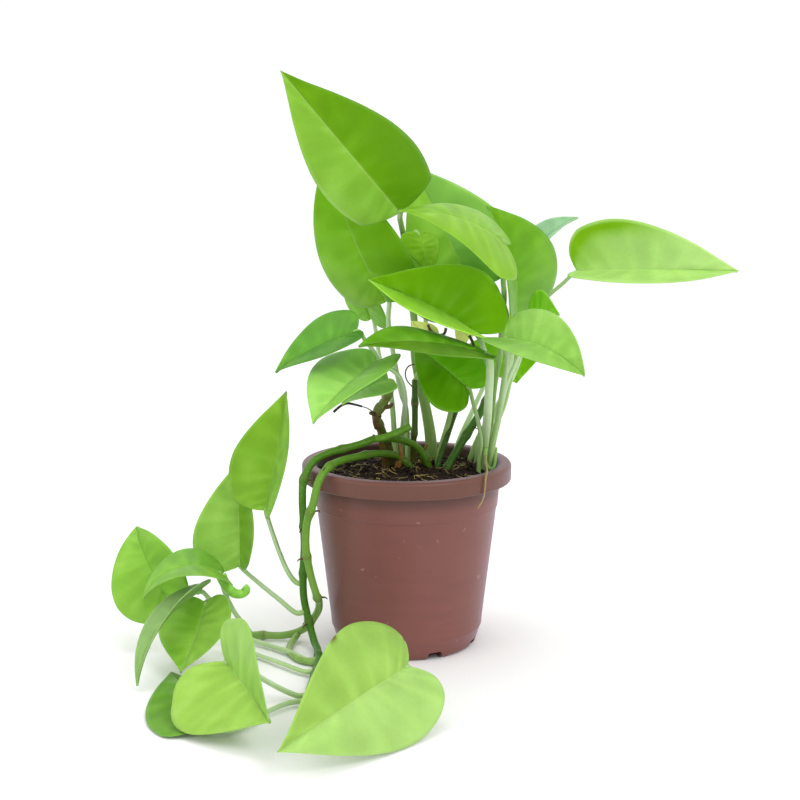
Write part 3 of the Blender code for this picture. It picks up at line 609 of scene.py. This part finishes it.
def blade(name, leaf, colours, node, nicks=(), stalk_shade=NO_PAINTED_STALK_SHADE):
    """A closed thin blade: an upper and an under sheet of ribs, joined round the edge."""
    share = np.linspace(0, 1, ALONG + 1)[:, None]
    rib = (np.linspace(0, 1, ACROSS + 1) ** 1.25)[None, :]
    share, rib = np.broadcast_arrays(share, rib)
    lit_looks = [linear(c) for c in colours]
    phase = rng.uniform(0, math.tau, 6)
    seed = rng.uniform(0, 90)
    halves = [half_blade(leaf, lit_looks, k, share, rib, phase, seed, nicks, stalk_shade) for k in range(2)]
    index, points, tint, vein = joined(halves)
    faces = sheet_faces(index)
    normals = np.zeros_like(points)
    for f in faces:
        n = np.cross(points[f[1]] - points[f[0]], points[f[2]] - points[f[0]])
        for v in f:
            normals[v] += n
    normals /= np.linalg.norm(normals, axis=1)[:, None] + 1e-12
    if (normals @ np.array(leaf[2], float)).sum() < 0:
        normals = -normals
        faces = [f[::-1] for f in faces]
    keel = BLADE_HALF + KEEL * np.clip(-vein, 0, 1)
    upper = points + normals * BLADE_HALF
    under = points - normals * keel[:, None]
    n = len(points)
    edge = [*index[0, :, ACROSS], *index[1, ALONG - 1 : 0 : -1, ACROSS]]
    all_faces = faces + [[v + n for v in f[::-1]] for f in faces]
    slots = [0] * len(faces) + [1] * len(faces)
    used = {frozenset((a, b)): (a, b) for f in faces for a, b in zip(f, f[1:] + f[:1])}
    for a, b in zip(edge, edge[1:] + edge[:1]):
        a, b = used[frozenset((a, b))]
        all_faces.append([b, a, a + n, b + n])
        slots.append(0)
    pale = toward(tint, UNDER_TINT * (tint.mean() / UNDER_TINT.mean()) ** 0.5, 0.6)
    obj = mesh_object(
        f"blade_{name}", np.vstack([upper, under]), all_faces, [LEAF_TOP, LEAF_UNDER],
        np.vstack([tint, pale]), slots, vein=np.concatenate([vein, vein]),
    )
    place(obj, node, "leaf_back_centre")


# ------ stalks

SIDES = 18


def tube(name, path, radii, tint, streak, shape):
    """A closed tube through a dense path. shape gives each ring's radius by angle, as a share."""
    ahead = heading(path)
    up = (0.31, 0.17, 0.93) if abs(ahead[0][2]) < 0.9 else (0.9, 0.3, 0.1)
    angles = np.linspace(0, math.tau, SIDES, endpoint=False)
    n = len(path)
    rings = []
    for i, (centre, across, other) in enumerate(frames(path, ahead, up)):
        around = np.cos(angles)[:, None] * across + np.sin(angles)[:, None] * other
        rings.append(centre + (radii[i] * shape(i / (n - 1), angles))[:, None] * around)
    first_end = path[0] - ahead[0] * radii[0] * 0.3
    last_end = path[-1] + ahead[-1] * radii[-1] * 0.3
    points = np.vstack([*rings, [first_end], [last_end]])
    faces = quads(n, SIDES)
    for j in range(SIDES):
        k = (j + 1) % SIDES
        faces.append((n * SIDES, k, j))
        faces.append((n * SIDES + 1, (n - 1) * SIDES + j, (n - 1) * SIDES + k))
    colour = np.repeat(tint, SIDES, axis=0)
    colour = np.vstack([colour, colour[:1], colour[-1:]])
    lines = np.tile(0.5 + 0.5 * np.cos(angles * 5 + 0.7), n)
    lines = np.concatenate([lines, [0.5, 0.5]]) * streak
    return mesh_object(name, points, faces, [STALK], colour, streak=lines)


def dense(points, spacing=1.6):
    """A smooth route through the points with steps of about this many millimetres."""
    pts = np.asarray(points, float)
    length = np.linalg.norm(np.diff(pts, axis=0), axis=1).sum()
    return curve_at(pts, np.linspace(0, 1, max(8, int(length / spacing))))


def notch(angles, at, deep, wide):
    """A tube's section with a shallow channel at this angle."""
    off = (angles - at + math.pi) % math.tau - math.pi
    return 1 - deep * np.exp(-((off / wide) ** 2))


PALE = linear((194, 218, 174))
GREEN = linear((148, 188, 108))
FRESH_TINT = linear((118, 158, 60))
FOOT_TINT = linear((168, 196, 120))
KNEE_TINT = linear((140, 186, 90))
RING_TINT = linear((126, 112, 66))
# How fresh a green a stalk is, and how much thicker than usual, by its blade's name.
FRESHER = {
    "top_left": 0.75, "arching": 0.75, "back_upper": 0.6,
    "right": 0.4, "far_right": 0.4, "lower_centre": 0.4,
}
STOUT = {"front_level": 1.3, "right": 1.15, "arching": 1.1}


def junction(leaf, radius, reach=1.6):
    """Where a petiole meets its blade, a little behind and under the notch."""
    base, tip, face = (np.array(v, float) for v in leaf[:3])
    along = unit(tip - base)
    up = unit(face - along * (face @ along))
    half = math.radians(0.5 * leaf[5])
    ahead = along * math.cos(half) + up * math.sin(half)
    out = up * math.cos(half) - along * math.sin(half)
    return base - (ahead + out) * reach * max(1.0, radius / 1.3), ahead, out


def nearest_stem_point(point):
    """The nearest point on any stem's middle line, where an unrooted petiole grows out of it."""
    line = np.vstack([dense(row[1], 1.0) for row in STEMS.values()])
    return line[np.argmin(np.linalg.norm(line - point, axis=1))]


def petiole(name, row):
    """A stalk with a shallow channel, a thicker knee under the blade and a sheath at its foot."""
    at_blade, at_root, points, planted = row
    leaf = LEAVES[name]
    start, ahead, out = junction(leaf, 0.8 * at_blade)
    inside = np.array(leaf[0], float) + ahead * 2.2 - out * 0.75
    grown_from = [] if planted else [nearest_stem_point(np.array(points[-1], float))]
    path = dense([inside, start, *points, *grown_from])
    t = np.linspace(0, 1, len(path))
    length = np.linalg.norm(np.diff(path, axis=0), axis=1).sum()
    knee = np.exp(-(((t * length - 7.0) / 4.5) ** 2))
    radii = at_blade * 0.86 + (at_root - at_blade * 0.86) * t**1.3 + 0.3 * knee
    radii *= np.clip(0.35 + t * length / 4.0, 0.35, 1.0) * STOUT.get(name, 1.0)
    foot = np.clip((t - 0.62) / 0.38, 0, 1)
    sheath = 0.3 if planted else 0.05

    def section(share, angles):
        wide = 1 + sheath * np.clip((share - 0.55) / 0.45, 0, 1) * np.cos(2 * angles)
        return wide * notch(angles, 1.2, 0.16, 0.5)

    tint = toward(GREEN, PALE, (0.35 + 0.65 * np.sin(math.pi * t) ** 2)[:, None])
    tint = toward(tint, FRESH_TINT, FRESHER.get(name, 0.0))
    tint = toward(tint, FOOT_TINT, 0.6 * foot[:, None])
    tint = toward(tint, KNEE_TINT, 0.7 * knee[:, None])
    place(tube(f"stalk_{name}", path, radii, tint, 0.5, section), f"petiole_{name}")


# Each stem's colours from its root to its end.
VINE_LOOKS = {
    "vine_upper": ((84, 128, 22), (76, 126, 26), (70, 124, 32), (60, 108, 34)),
    "vine_lower": ((70, 108, 20), (96, 144, 38), (126, 168, 72), (136, 172, 92)),
    "stem_left": ((86, 78, 34), (104, 104, 44), (112, 124, 56), (120, 146, 70)),
    "stem_middle": ((112, 86, 40), (84, 92, 34), (62, 96, 26), (74, 112, 34)),
    "stem_right": ((56, 98, 24), (54, 102, 24), (68, 116, 34), (88, 132, 48)),
}
# The length of one internode: a vine's, and each upright stem's.
VINE_INTERNODE = 31.0
INTERNODES = {"stem_left": 11.0, "stem_middle": 19.0, "stem_right": 23.0}


def stem(name, row):
    """A stem or vine: internodes with a fine channel, and swollen nodes with a dry ring."""
    radius, points = row
    path = dense(points, 1.3)
    step = np.linalg.norm(np.diff(path, axis=0), axis=1)
    run = np.concatenate([[0], np.cumsum(step)])
    every = INTERNODES.get(name, VINE_INTERNODE)
    offset = (run / every) % 1.0 - 0.5
    swell = np.exp(-((offset * every / 2.6) ** 2))
    ring = np.exp(-(((offset * every + 0.8) / 0.55) ** 2))
    radii = radius * (0.9 + 0.24 * swell) + 0.12 * ring
    if name == "stem_left":
        radii += 0.35 * np.abs(np.sin(run * 0.9))
    stops = np.array([linear(c) for c in VINE_LOOKS[name]])
    tint = curve_at(stops, run / run[-1])
    tint = toward(tint, RING_TINT, 0.6 * ring[:, None])
    tint = tint * (1 - 0.15 * swell[:, None])
    skin = tube(f"skin_{name}", path, radii, tint, 0.6, lambda _, angles: notch(angles, 2.0, 0.1, 0.45))
    place(skin, name)
    return path, run, every


for leaf_name, leaf_row in LEAVES.items():
    extras = (NICKS.get(leaf_name, ()), PAINTED_STALK_SHADE.get(leaf_name, NO_PAINTED_STALK_SHADE))
    blade(leaf_name, leaf_row, LIT_LOOKS[leaf_name], f"leaf_{leaf_name}", *extras)
for number, (leaf_row, colours) in enumerate(YOUNG_BACKLIT_BLADES):
    blade(f"young_backlit_{number}", leaf_row, colours, None)
for stalk_name, stalk_row in PETIOLES.items():
    petiole(stalk_name, stalk_row)
vines = {stem_name: stem(stem_name, stem_row) for stem_name, stem_row in STEMS.items()}


def roots():
    """Stubs of aerial root at the vines' nodes."""
    strands = []
    for name in ("vine_upper", "vine_lower"):
        path, run, every = vines[name]
        for k in range(1, int(run[-1] / every)):
            at = path[int(np.searchsorted(run, (k + 0.5) * every))]
            if at[2] < 8:
                continue
            outward = np.array([at[0], 0.4 * at[1], 0.0]) * (-1 if k % 2 else 0.2)
            away = unit(outward + rng.normal(0, 0.5, 3) * (1, 30, 6))
            base = at + away * 1.5
            middle = base + away * rng.uniform(2.5, 4.5)
            end = base + away * 4.5 + (0, 0, -1.2)
            strands.append(([base, middle, end], 0.75, 0.25, (84, 66, 40)))
    return strands


def strand_mesh(name, strands, slot="vine_upper", sides=6):
    """Many tapered strands as one mesh. Each has a route, a radius at each end and a colour."""
    points, faces, tints = [], [], []
    for route, start_radius, end_radius, rgb in strands:
        path = dense(route, 1.2)
        first = len(points)
        for i, (centre, across, other) in enumerate(frames(path, heading(path), (0.3, 0.5, 0.8))):
            radius = start_radius + (end_radius - start_radius) * i / (len(path) - 1)
            for a in np.linspace(0, math.tau, sides, endpoint=False):
                points.append(centre + radius * (math.cos(a) * across + math.sin(a) * other))
                tints.append(linear(rgb) * (1.0 + 0.15 * math.sin(1.9 * i) * math.sin(0.7 * i + a)))
        faces += quads(len(path), sides, first)
        faces.append(tuple(range(first, first + sides))[::-1])
        faces.append(tuple(range(len(points) - sides, len(points))))
    obj = mesh_object(name, points, faces, [STALK], np.array(tints), streak=np.full(len(points), 0.5))
    place(obj, None, slot)


# Thin roots and dried threads.
THIN = [
    ([(47, -3, 116), (46, -14, 113), (46, -28, 113), (45.5, -40, 112.5), (44.5, -45, 110), (44, -46, 104),
        (43, -46, 98), (40, -47.5, 93)], 0.75, 0.5, (156, 128, 92)),
    ([(-43, -9, 141.5), (-39, -9, 145), (-35, -8, 146.5), (-30.5, -7, 145.6), (-26.4, -6, 144.3)],
        0.85, 0.7, (42, 38, 34)),
    ([(-26.4, -6, 144.3), (-22.9, -5, 142.9), (-19.3, -4, 140), (-17.6, -2, 137)], 0.3, 0.4,
        (66, 50, 40)),
    ([(6, 13, 167), (1.4, 8, 166.4), (-0.7, 6, 163), (0.2, 6, 158), (4.5, 13, 152)], 0.45, 0.35,
        (58, 48, 34)),
    ([(6, 0, 198.5), (10.7, -2, 196), (14.9, -1, 194), (19, 2, 193)], 0.45, 0.3, (44, 44, 26)),
    ([(25, -3, 109), (20, -7, 107), (17, -10, 108)], 0.5, 0.2, (72, 58, 34)),
    ([(38, 3, 131), (42, -1, 130), (45, -2, 128)], 0.45, 0.15, (58, 48, 30)),
]

# Pieces of stem without a leaf: an old cane, a cut shoot, a runner, a hanging loop, bracts and stubs.
BARE = [
    ([(18, 4, 99), (20, 6, 110), (25, 13, 124), (29, 20, 134), (33, 27, 142)], 1.9, 1.6, (54, 92, 28)),
    ([(-19, -13, 126), (-14, -14, 127), (-6, -14, 130), (2, -12, 133.5)], 2.1, 2.3, (104, 152, 44)),
    ([(-66, -8, 4.5), (-69, -18, 2.6), (-69, -31, 2.4), (-62, -45, 2.4), (-51, -52, 3)], 2.0, 1.8,
        (140, 176, 92)),
    ([(-6, 2, 104), (-4, 0, 110), (-3, -1, 115), (-4, 0, 120)], 2.4, 1.0, (146, 104, 48)),
    ([(-12, 6, 103), (-13, 2, 112), (-15, -1, 121), (-16, -2, 128)], 2.4, 1.4, (112, 84, 42)),
    ([(-17, 0, 131), (-18.5, -2, 135), (-18, -3, 138.5)], 2.6, 1.2, (98, 74, 42)),
    ([(12.6, 4, 191.5), (14.4, 5, 187.8), (18, 6, 185.3), (22.2, 7, 185.8), (23.4, 8, 189.2)], 0.8, 0.9,
        (82, 66, 38)),
    ([(37.2, 6, 185), (39.2, 6, 181), (41, 7, 176)], 0.9, 1.0, (92, 84, 50)),
    ([(-16, 0, 137), (-20, -3, 139.5), (-22, -4, 140)], 1.7, 0.9, (90, 64, 36)),
    ([(-14, -1, 143), (-10, -4, 144), (-8, -5, 146)], 1.7, 0.8, (104, 76, 42)),
    ([(-13, 2, 126), (-17, -3, 125), (-20, -5, 127)], 1.6, 0.6, (74, 54, 32)),
    ([(47, -4, 119), (46.5, -7, 112), (48.5, -8, 107.5), (52, -4, 107), (53, 0, 112), (53.5, 2, 118)],
        1.2, 1.0, (150, 190, 106)),
    ([(9, 10, 104), (10, 8, 110), (11, 6, 116), (13, 3, 120)], 1.8, 0.6, (140, 116, 60)),
]

# The edge of a vine leaf that has rolled up.
CURL = [
    ([(-108.3, -32, 49.2), (-105.8, -33, 44.2), (-101.4, -34, 39.3), (-96.6, -33, 38), (-93.6, -32, 40),
        (-95, -32, 42)], 3.2, 2.3, (150, 214, 84)),
]

strand_mesh("aerial_roots", roots() + THIN)
strand_mesh("bare_stems", BARE, sides=16)
strand_mesh("curled_lobe", CURL, slot="leaf_trail_arching", sides=16)


# ------ soil

SOIL_TOP = 103.5
SOIL_RADIUS = 54.8
MOUND_RADIUS = 55.0
CRUST_FLOOR = 92.0
CRUMBS = 900
FIBRES = 120
BROWNS = [linear(c) for c in ((46, 30, 22), (62, 42, 30), (34, 24, 20), (78, 54, 36))]


def soil_height(x, y):
    """The soil's surface, as in the part: a low mound with soft bumps."""
    mound = 2.0 * (1.0 - (x * x + y * y) / MOUND_RADIUS**2)
    bumps = np.sin(0.21 * x + 0.8) * np.cos(0.17 * y) + 0.6 * np.sin(0.37 * y - 0.11 * x)
    return SOIL_TOP + mound + 0.8 * bumps


def somewhere(radius):
    """A random place on the soil, within this radius."""
    r = radius * math.sqrt(rng.uniform())
    a = rng.uniform(0, math.tau)
    return r * math.cos(a), r * math.sin(a)


def soil():
    """A rough crust with hundreds of loose crumbs on it."""
    turns, rings = 150, 60
    angle = np.linspace(0, math.tau, turns, endpoint=False)
    radius = SOIL_RADIUS * (np.arange(1, rings + 1) / rings)
    x = (radius[:, None] * np.cos(angle)).ravel()
    y = (radius[:, None] * np.sin(angle)).ravel()
    flat = np.stack([x, y, np.zeros_like(x)], 1)
    rough = 1.3 * fractal(flat, 0.16) + 0.55 * fractal(flat, 0.6, 4)
    points = list(np.stack([x, y, soil_height(x, y) + rough - 0.4], 1))
    points.append((0, 0, float(soil_height(0.0, 0.0))))
    points += [(px, py, CRUST_FLOOR) for px, py in zip(x[-turns:], y[-turns:])]
    faces = [(a, d, c, b) for a, b, c, d in quads(rings, turns)]
    centre, low, edge = rings * turns, rings * turns + 1, (rings - 1) * turns
    for j in range(turns):
        k = (j + 1) % turns
        faces.append((centre, j, k))
        faces.append((edge + j, low + j, low + k, edge + k))
    faces.append(tuple(low + j for j in range(turns - 1, -1, -1)))
    shares = np.clip(rng.normal(0.5, 0.4, len(points)), 0, 1)
    tint = [toward(BROWNS[0], BROWNS[1], w) for w in shares]
    ball = bmesh.new()
    bmesh.ops.create_icosphere(ball, subdivisions=1, radius=1.0)
    shell = np.array([v.co for v in ball.verts])
    triangles = [[v.index for v in f.verts] for f in ball.faces]
    ball.free()
    for _ in range(CRUMBS):
        x, y = somewhere(SOIL_RADIUS - 1.5)
        size = rng.uniform(0.5, 1.7) * rng.uniform(0.6, 1.0, 3)
        crumb = shell * size * rng.uniform(0.7, 1.2, (len(shell), 1))
        turn = rng.uniform(0, math.tau)
        c, s = math.cos(turn), math.sin(turn)
        turned = crumb @ np.array([(c, s, 0), (-s, c, 0), (0, 0, 1)])
        first = len(points)
        points.extend(turned + (x, y, float(soil_height(x, y)) + 0.6))
        tint.extend([BROWNS[rng.integers(0, 4)]] * len(shell))
        faces.extend([[first + v for v in t] for t in triangles])
    obj = mesh_object("soil_crust", np.array(points), faces, [SOIL], np.array(tint), smooth=False)
    place(obj, "soil")


def fibres():
    """Short curled fibres of coconut husk on the soil."""
    strands = []
    for _ in range(FIBRES):
        x, y = somewhere(SOIL_RADIUS - 7)
        way = rng.uniform(0, math.tau)
        route = []
        for _ in range(4):
            z = float(soil_height(x, y)) + rng.uniform(0.6, 2.4)
            route.append((x, y, z))
            way += rng.normal(0, 0.8)
            x += 2.4 * math.cos(way)
            y += 2.4 * math.sin(way)
        shade = rng.uniform(0.45, 1.1)
        strands.append((route, 0.28, 0.14, tuple(min(255, c * shade) for c in (186, 152, 104))))
    strand_mesh("soil_fibres", strands, slot="soil")


soil()
fibres()


# ------ pot

POT_HEIGHT = 110.6
RIM_RADIUS = 62.5
RIM_UNDER = 100.4
RIM_FLANGE = 106.2
LIP = 2.2
COLLAR_Z = 85.0
COLLAR_STEP = 0.5
LEDGE_Z = 12.0
LEDGE_RADIUS = 45.4
FOOT_RADIUS = 41.4
FOOT_ROUND = 4.0
WALL_SPREAD = 10.4
WALL = 1.3
FLOOR = 2.2
TURNS = 192
SLOTS = 8
FIRST_SLOT = -67.0
SLOT_START = 34.0
SLOT_WIDTH = 9.0
SLOT_BLOCK = 9.2
SLOT_ROUND = 1.8
# The rolled rim's underside and outer face: how far in from the rim's edge, and how high.
RIM_STEPS = ((2.0, RIM_FLANGE), (1.4, 100.6), (1.1, RIM_UNDER), (0.5, 100.5), (0.1, 101.0), (0.0, 104.0))


def wall(z):
    """The outer radius of the pot's wall at this height."""
    if z <= LEDGE_Z:
        return FOOT_RADIUS + (LEDGE_RADIUS - FOOT_RADIUS) * z / LEDGE_Z
    share = (z - LEDGE_Z) / (RIM_UNDER - LEDGE_Z)
    return LEDGE_RADIUS + WALL_SPREAD * share + (COLLAR_STEP if z > COLLAR_Z else 0.0)


def inner(z):
    """The inner radius of the pot's wall at this height."""
    return wall(min(z, COLLAR_Z)) + (max(z, COLLAR_Z) - COLLAR_Z) * 0.06 - WALL


def arc(r, z, radius, start, end, steps=8):
    """Points of a profile on an arc about (r, z), between two angles in degrees."""
    angles = [math.radians(start + (end - start) * i / steps) for i in range(steps + 1)]
    return [(r + radius * math.cos(a), z + radius * math.sin(a)) for a in angles]


def bmesh_object(name, bm):
    mesh = bpy.data.meshes.new(name)
    bm.to_mesh(mesh)
    bm.free()
    return scene_object(name, mesh)


def slot_block():
    """A block with rounded upper edges that reaches from inside a drain slot to beyond the wall."""
    length = LEDGE_RADIUS + 3.0 - SLOT_START
    bm = bmesh.new()
    bmesh.ops.create_cube(bm, size=1.0)
    bmesh.ops.scale(bm, vec=(length * MM, SLOT_WIDTH * MM, SLOT_BLOCK * MM), verts=bm.verts)
    tops = []
    for edge in bm.edges:
        a, b = (v.co for v in edge.verts)
        if min(a.z, b.z) > 0 and abs(a.y - b.y) < 1e-6:
            tops.append(edge)
    bmesh.ops.bevel(bm, geom=tops, offset=SLOT_ROUND * MM, segments=5, profile=0.5, affect="EDGES")
    bmesh.ops.translate(bm, vec=((SLOT_START + 0.5 * length) * MM, 0, 0), verts=bm.verts)
    return bmesh_object("drain_slot", bm)


def pot():
    """The moulded pot: a turned profile with drain slots cut through its foot."""
    top = POT_HEIGHT - LIP
    profile = [(0.0, 0.0), (20.0, 0.0)]
    profile += arc(wall(FOOT_ROUND) - FOOT_ROUND, FOOT_ROUND, FOOT_ROUND, -90, -8)
    profile += [(wall(11.0), 11.0), (wall(LEDGE_Z) + 0.12, 11.6), (wall(LEDGE_Z) + 0.2, 12.3)]
    profile += [(wall(z), z) for z in np.linspace(16, 84, 9)]
    profile += [(wall(84.6) + 0.05, 84.6), (wall(85.1), COLLAR_Z), (wall(86.0), 86.0)]
    profile += [(wall(RIM_UNDER), RIM_FLANGE)]
    profile += [(RIM_RADIUS - step, z) for step, z in RIM_STEPS]
    profile += arc(RIM_RADIUS - LIP, top, LIP, 0, 90)
    profile += arc(inner(top) + LIP, top, LIP, 90, 180)
    profile += [(inner(COLLAR_Z), COLLAR_Z), (inner(LEDGE_Z), LEDGE_Z)]
    profile += [(inner(LEDGE_Z) - 4, FLOOR), (0.0, FLOOR)]
    bm = bmesh.new()
    verts = [bm.verts.new((r * MM, 0, z * MM)) for r, z in profile]
    edges = [bm.edges.new(pair) for pair in zip(verts, verts[1:])]
    bmesh.ops.spin(bm, geom=verts + edges, axis=(0, 0, 1), angle=math.tau, steps=TURNS, use_merge=True)
    bmesh.ops.remove_doubles(bm, verts=bm.verts, dist=1e-6)
    bmesh.ops.recalc_face_normals(bm, faces=bm.faces)
    body = bmesh_object("pot_shell", bm)
    body.data.materials.append(POT)
    bpy.context.view_layer.objects.active = body
    for i in range(SLOTS):
        cutter = slot_block()
        cutter.rotation_euler.z = math.radians(FIRST_SLOT + 360.0 / SLOTS * i)
        cut = body.modifiers.new("slot", "BOOLEAN")
        cut.operation = "DIFFERENCE"
        cut.solver = "EXACT"
        cut.object = cutter
        bpy.context.view_layer.update()
        with bpy.context.temp_override(object=body, active_object=body):
            bpy.ops.object.modifier_apply(modifier="slot")
        bpy.data.objects.remove(cutter)
    body.data.shade_smooth()
    body.data.set_sharp_from_angle(angle=math.radians(35))
    place(body, "pot")


pot()


# ------ floor, light and camera

FLOOR_HALF = 3.0
SKY_STRENGTH = 1.04
# Each lamp's place in metres, size and power.
LAMPS = {
    "key": ((0.9, -1.2, 1.5), 0.6, 9.0),
    "fill": ((-1.3, -0.8, 1.0), 1.0, 3.0),
    "top": ((-0.2, 0.3, 1.9), 0.9, 6.0),
}
LAMP_AIM = np.array((0.0, 0.0, 0.15))
CAMERA_AT = (-0.00395, -0.8, 0.28096)
CAMERA_TILT = 80.505
CAMERA_LENS = 61.47


def stage():
    """A paper floor, a white sky, three soft lamps and the photo's camera."""
    scene = bpy.context.scene
    corners = [(x * FLOOR_HALF, y * FLOOR_HALF, 0) for x, y in ((-1, -1), (1, -1), (1, 1), (-1, 1))]
    mesh = bpy.data.meshes.new("floor")
    mesh.from_pydata(corners, [], [(0, 1, 2, 3)])
    mesh.materials.append(floor_material())
    floor = scene_object("floor", mesh)
    scene.world = bpy.data.worlds.new("studio")
    scene.world.use_nodes = True
    sky = scene.world.node_tree.nodes["Background"].inputs
    sky["Color"].default_value = (1.0, 1.0, 1.0, 1.0)
    sky["Strength"].default_value = SKY_STRENGTH
    for name, (at, size, power) in LAMPS.items():
        light = bpy.data.lights.new(name, "AREA")
        light.energy = power
        light.size = size
        lamp = scene_object(name, light)
        lamp.location = at
        x, y, z = LAMP_AIM - at
        lamp.rotation_euler = (math.atan2(math.hypot(x, y), -z), 0.0, math.atan2(y, x) - math.pi / 2)
    lens = bpy.data.cameras.new("camera")
    lens.lens = CAMERA_LENS
    lens.sensor_width = 36.0
    scene.camera = scene_object("camera", lens)
    scene.camera.location = CAMERA_AT
    scene.camera.rotation_euler = (math.radians(CAMERA_TILT), 0.0, 0.0)
    scene.view_settings.view_transform = "Standard"


stage()
bpy.context.view_layer.update()
